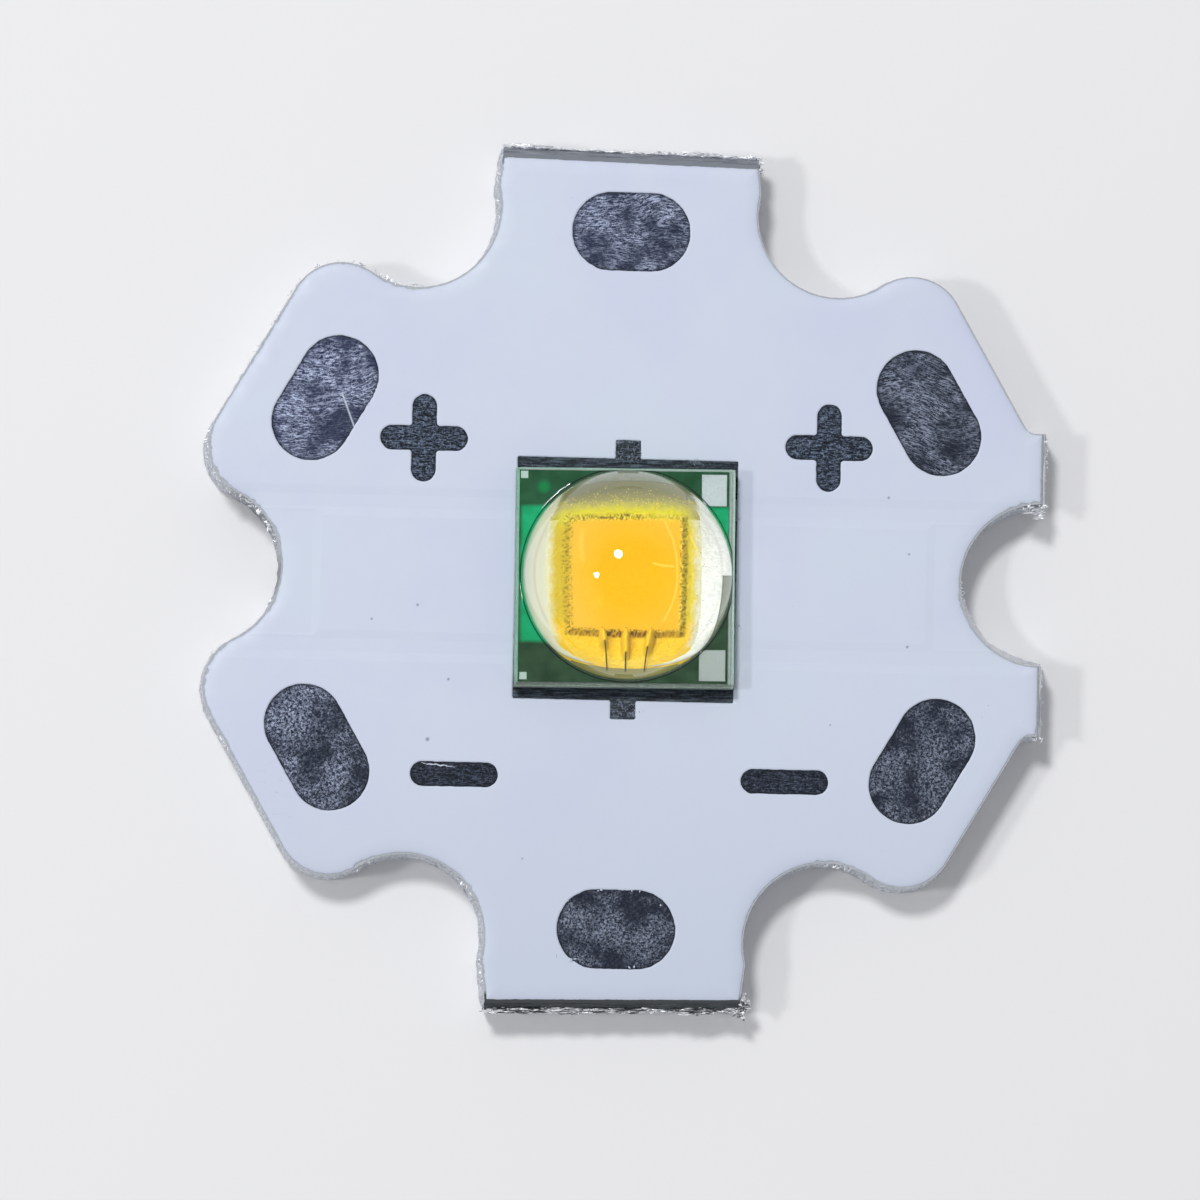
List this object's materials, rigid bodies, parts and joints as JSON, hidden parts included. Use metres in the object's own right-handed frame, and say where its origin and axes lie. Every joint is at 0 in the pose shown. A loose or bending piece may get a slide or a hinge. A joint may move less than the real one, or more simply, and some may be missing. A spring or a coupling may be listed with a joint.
{
  "type": "high power led",
  "caption": "Domed high power light-emitting diode on a six-armed aluminium-core board with screw notches.",
  "frame": {"origin": "underside of the board, on the emitter's axis, which is the middle of the printed pattern", "axes": "+Z out of the lens, square to the board; +Y to the arm on the side of the plus signs; +X to the notch beside the two small snapped tabs"},
  "size_m": [0.0195, 0.02, 0.0048],
  "materials": {
    "aluminium_core": "satin, with sheared and snapped edges",
    "insulating_resin": "matte, seen only at the edge",
    "copper": "covered by the white mask and the grey finish",
    "white_mask": "semi-matte bluish white",
    "pad_metal": "dull grey with fine scratches",
    "solder": "dark grey, crinkled where it is wetted out",
    "gold_plating": "satin",
    "ceramic_plate": "matte pale grey-green",
    "silver_plating": "bright satin",
    "green_resist": "glossy, brighter where metal lies under it",
    "die_crystal": "dark, under the phosphor",
    "phosphor": "matte, grainy orange-yellow",
    "gold_wire": "bright",
    "clear_silicone": "clear and glossy"
  },
  "bodies": {
    "root": {"base_plate": "aluminium_core", "dielectric_layer": "insulating_resin", "anode_copper": "copper", "thermal_copper": "copper", "cathode_copper": "copper", "solder_mask": "white_mask", "pad_finish": "pad_metal", "anode_solder": "solder", "thermal_solder": "solder", "cathode_solder": "solder", "anode_land": "gold_plating", "thermal_land": "gold_plating", "cathode_land": "gold_plating", "led_substrate": "ceramic_plate", "package_vias": "gold_plating", "die_pad": "silver_plating", "wire_pad": "silver_plating", "test_pads": "silver_plating", "green_resist": "green_resist", "die_attach": "solder", "led_die": "die_crystal", "phosphor_layer": "phosphor", "bond_wire_1": "gold_wire", "bond_wire_2": "gold_wire", "bond_wire_3": "gold_wire", "silicone_lens": "clear_silicone"}
  },
  "joints": []
}
